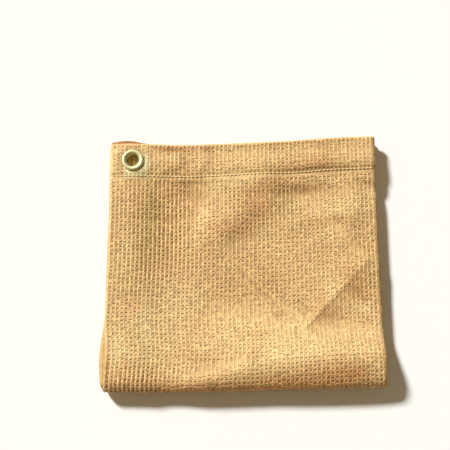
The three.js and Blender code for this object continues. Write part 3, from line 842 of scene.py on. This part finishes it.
def makeTapes(material):
    rng = np.random.default_rng(tape["seed"])
    course, halfLong = cloth["course"], tape["halfLong"] * cloth["wale"]
    gaps = np.arange(1, cloth["ribs"] + 1) * cloth["wale"]
    stitches = (np.arange(int(chain["lastDown"] / course)) + 0.5) * course
    gap, stitch = (v.ravel() for v in np.meshgrid(gaps, stitches, indexing="ij"))
    jitter = lambda name: rng.normal(0, tape["uneven"][name], len(gap))
    stitch = stitch + jitter("down")
    rise = jitter("slant")
    start = np.stack([gap - halfLong, stitch + rise + jitter("end")], -1)
    end = np.stack([gap + halfLong, stitch - rise + jitter("end")], -1)
    halfWide = tape["halfWide"] * (1 + jitter("wide"))
    halfTall = tape["halfTall"] * (1 + jitter("tall"))
    high = tape["high"] + jitter("high")
    dip = tape["dip"] + jitter("dip")
    tone = tape["tone"] + jitter("tone")
    return makeGrains("bridging_tapes", material, start, end, halfWide, halfTall, high, dip, tone)


yarn = knitMaterial("knitted_thread", holes=False)
chains = makeChains(yarn)
tapes = makeTapes(yarn)
print("yarn made", len(chains.data.polygons) + len(tapes.data.polygons))


# Sewing thread in short raised stitches: along the far hem, and round the corner's box.
sewing = {
    "thread": "FFF3C8",
    "shade": "D9C48F",  # between its fibres
    "length": 3.0,
    "pitch": 3.7,
    "before": 0.1,  # of a pitch, ahead of the first stitch
    "seamEnd": 1.5,  # from a free edge, and past the half width
    "cornerPast": 3.0,  # past the far hem, down the corner's side
    "radius": 0.5,
    "rings": (0.35, 0.9, 1.0, 1.0, 0.9, 0.35),  # radius along a stitch, in shares of that
    "corners": 6,  # round each ring
    "lift": 0.2,
    "arch": 0.2,  # how much higher its middle stands
    "twists": 1.8,  # to a millimetre, as coarse as they need to be to show
    "roughness": 0.45,
    "bump": {"Strength": 0.3, "Distance": 0.1 * metre},
}
hemDepth, cornerWidth, seamEnd = cloth["hemDepth"], cloth["cornerWidth"], sewing["seamEnd"]
seams = [  # from, to, size of the stitches
    ((cornerWidth, hemDepth), (cloth["halfWidth"] + seamEnd, hemDepth), 1.0),
    ((seamEnd, hemDepth), (cornerWidth, hemDepth), 0.7),
    ((cornerWidth, seamEnd), (cornerWidth, hemDepth + sewing["cornerPast"]), 0.5),
]


# Each stitch is rings of thread about its own stretch of the seam, which arches like half a sine.
def makeSewing(material):
    corners, rings = sewing["corners"], len(sewing["rings"])
    shares = np.linspace(0, 1, rings)
    runs = []
    for (fromAcross, fromDown), (toAcross, toDown), size in seams:
        run = math.hypot(toAcross - fromAcross, toDown - fromDown)
        count = int(run / sewing["pitch"])
        starts = (np.arange(count) + sewing["before"]) * sewing["pitch"]
        at = (starts[:, None] + shares * sewing["length"]) / run
        runs.append((mix(fromAcross, toAcross, at), mix(fromDown, toDown, at), np.full(count, size)))
    across, down, size = (np.concatenate(parts) for parts in zip(*runs))
    high = (sewing["lift"] + sewing["arch"] * np.sin(math.pi * shares)) * size[:, None]
    centre = clothPoint(across, down, high, 1.0)
    ahead = np.gradient(centre, axis=1)
    ahead /= np.linalg.norm(ahead, axis=-1, keepdims=True)
    beside = np.cross(ahead, [0.0, 0.0, 1.0])
    beside /= np.linalg.norm(beside, axis=-1, keepdims=True)
    above = np.cross(beside, ahead)
    radius = (sewing["radius"] * np.array(sewing["rings"]) * size[:, None])[:, :, None, None]
    angles = np.linspace(0, 2 * math.pi, corners + 1)[:-1, None]
    ring = (centre[:, :, None] + radius * (beside[:, :, None] * np.cos(angles)
                                           + above[:, :, None] * np.sin(angles)))
    # the wall's squares in two triangles each, then a fan over either end
    i, j = (v.ravel() for v in np.meshgrid(np.arange(rings - 1), np.arange(corners), indexing="ij"))
    here, beyond, after = i * corners, (i + 1) * corners, (j + 1) % corners
    a, b, c, d = here + j, here + after, beyond + after, beyond + j
    fan = np.arange(1, corners - 1)
    last = (rings - 1) * corners
    triangles = np.concatenate([
        np.stack([c, b, a], -1),
        np.stack([d, c, a], -1),
        np.stack([fan, fan + 1, 0 * fan], -1),
        np.stack([last + fan + 1, last + fan, last + 0 * fan], -1),
    ])
    first = np.arange(len(across)) * rings * corners
    faces = (triangles + first[:, None, None]).reshape(-1, 3)
    return meshPiece("sewing", ring.reshape(-1, 3), faces, material)


def threadMaterial():
    # Polyester sewing thread, twisted: pale and slightly glossy.
    material, tree, shader = newMaterial("polyester_thread", {"Roughness": sewing["roughness"]})
    coords = addNode(tree, "TexCoord").outputs["Object"]
    twist = addNode(tree, "TexNoise", {"Scale": sewing["twists"] / metre, "Detail": 2.0}, Vector=coords)
    shade, pale = linear(sewing["shade"]), linear(sewing["thread"])
    colour = addNode(tree, "Mix", {"data_type": "RGBA", 6: shade, 7: pale}, i0=twist)
    bump = addNode(tree, "Bump", sewing["bump"], Height=twist)
    tree.links.new(colour.outputs[2], shader.inputs["Base Color"])
    tree.links.new(bump.outputs[0], shader.inputs["Normal"])
    return material


sewn = makeSewing(threadMaterial())
print("sewing made")


# The eyelet's ring: a rolled flange, a barrel and a lip, turned about its axis.
ringForm = {
    "crest": 8.7,  # radius of the flange's highest line
    "innerDeep": 1.2,  # how far below the seat the roll's inner side ends
    "throat": 2.2,  # a line round the hole this far below keeps its wall's shading straight
    "washer": 0.7,
    "lipEdge": 0.3,  # the lip's mouth is this much wider than the hole
    "points": (8, 10),  # on the roll's outer and inner side
    "steps": 72,  # round the axis
    "dark": "CECB98",
    "light": "EEEAC0",
    "clouds": 0.26,  # to a millimetre
    "scuffs": 0.9,
    "roughness": (0.58, 0.74),
    "bump": {"Strength": 0.15, "Distance": 0.1 * metre},
}


# A closed profile of radius and height, carried round the eyelet's axis.
def turned(name, profile, material):
    radius, height = np.array(profile, float).T
    count, steps = len(radius), ringForm["steps"]
    turn = np.linspace(0, 2 * math.pi, steps + 1)[:-1]
    x = eyeletAxis[0] + radius[:, None] * np.cos(turn)
    y = eyeletAxis[1] + radius[:, None] * np.sin(turn)
    z = np.broadcast_to(height[:, None], x.shape)
    i, j = np.meshgrid(np.arange(count), np.arange(steps), indexing="ij")
    nextI, nextJ = (i + 1) % count, (j + 1) % steps
    faces = np.stack([i * steps + j, i * steps + nextJ, nextI * steps + nextJ, nextI * steps + j], -1)
    return meshPiece(name, np.stack([x, y, z], -1).reshape(-1, 3), faces.reshape(-1, 4), material)


def arc(centreR, centreZ, radiusR, radiusZ, fromTurn, toTurn, steps):  # along an ellipse
    turns = np.radians(np.linspace(fromTurn, toTurn, steps))
    return [(centreR + radiusR * math.cos(t), centreZ + radiusZ * math.sin(t)) for t in turns]


# From the flange's rim over its crest, down the hole, and back out along the lip and the barrel.
def eyeletProfile():
    e, form = eyelet, ringForm
    hemTop = 4 * (cloth["foldGap"] / 2 + cloth["hemThick"]) + cloth["layGap"] + e["lift"]
    seat = hemTop + e["gap"]
    lipTop = hemTop - cloth["hemThick"] - 2 * e["gap"] - form["washer"]
    lipLow, lipWide = lipTop - e["wall"], e["barrel"] + e["lip"]
    crest, deep = form["crest"], form["innerDeep"]
    outerPoints, innerPoints = form["points"]
    outerRoll = arc(crest, seat, e["flange"] - crest, e["crown"], 0, 90, outerPoints)
    innerRoll = arc(crest, seat - deep, crest - e["hole"], e["crown"] + deep, 90, 180, innerPoints)[1:]
    inside = [(e["hole"], seat - form["throat"]), (e["hole"], lipTop)]
    lip = [(e["hole"] + form["lipEdge"], lipLow), (lipWide, lipLow), (lipWide, lipTop)]
    return outerRoll + innerRoll + inside + lip + [(e["barrel"], lipTop), (e["barrel"], seat)]


def brassMaterial():
    # Brass sheet, pressed, rolled over and thinly plated: pale, softly shining, duller in patches.
    material, tree, shader = newMaterial("plated_brass", {"Metallic": 1.0})
    form = ringForm
    coords = addNode(tree, "TexCoord").outputs["Object"]
    cloudy = addNode(tree, "TexNoise", {"Scale": form["clouds"] / metre, "Detail": 4.0}, Vector=coords)
    dark, light = linear(form["dark"]), linear(form["light"])
    colour = addNode(tree, "Mix", {"data_type": "RGBA", 6: dark, 7: light}, i0=cloudy)
    smoothest, roughest = form["roughness"]
    rough = addNode(tree, "MapRange", {"To Min": smoothest, "To Max": roughest}, Value=cloudy)
    scuffs = addNode(tree, "TexNoise", {"Scale": form["scuffs"] / metre, "Detail": 3.0}, Vector=coords)
    bump = addNode(tree, "Bump", form["bump"], Height=scuffs)
    tree.links.new(colour.outputs[2], shader.inputs["Base Color"])
    tree.links.new(rough.outputs[0], shader.inputs["Roughness"])
    tree.links.new(bump.outputs[0], shader.inputs["Normal"])
    return material


brass = brassMaterial()
ring = turned("eyelet_ring", eyeletProfile(), brass)
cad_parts["eyelet_washer"].data.materials.clear()
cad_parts["eyelet_washer"].data.materials.append(brass)
print("eyelet made")


# The stage: a plain pale floor, a soft light from far left and a faint warm surround.
stage = {
    "floor": "FAFAF8",
    "floorHalf": 3000.0,
    "floorRoughness": 0.8,
    "lightFrom": (-0.62, 0.62, 0.52),  # direction
    "lightAngle": 9.0,
    "lightPower": 5.3,
    "surround": 0.22,
    "surroundColour": "FFE6BA",
}


def makeStage():
    # Painted board: plain, pale and matt.
    paint = {"Base Color": linear(stage["floor"]), "Roughness": stage["floorRoughness"]}
    material = newMaterial("painted_floor", paint)[0]
    corners = np.array([(-1, -1, 0), (1, -1, 0), (1, 1, 0), (-1, 1, 0)]) * stage["floorHalf"]
    floor = meshPiece("floor", corners, [(0, 1, 2, 3)], material)
    light = bpy.data.lights.new("key", "SUN")
    light.angle = math.radians(stage["lightAngle"])
    light.energy = stage["lightPower"]
    obj = bpy.data.objects.new("key", light)
    x, y, z = stage["lightFrom"]
    obj.rotation_euler = (math.atan2(math.hypot(x, y), z), 0.0, math.atan2(x, -y))
    bpy.context.scene.collection.objects.link(obj)
    world = bpy.data.worlds.new("surround")
    world.use_nodes = True
    background = world.node_tree.nodes["Background"]
    background.inputs["Color"].default_value = linear(stage["surroundColour"])
    background.inputs["Strength"].default_value = stage["surround"]
    bpy.context.scene.world = world
    bpy.context.scene.view_settings.view_transform = "Standard"


makeStage()
print("stage made")

for piece, names, slotName in (
    (shadeCloth, ("folded_cloth", "eyelet_corner"), "knit"),
    (chains, (), "knit"),
    (tapes, (), "knit"),
    (sewn, (), "knit"),
    (ring, ("eyelet",), "brass"),
):
    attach(piece, "root")
    if names:
        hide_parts(*names)
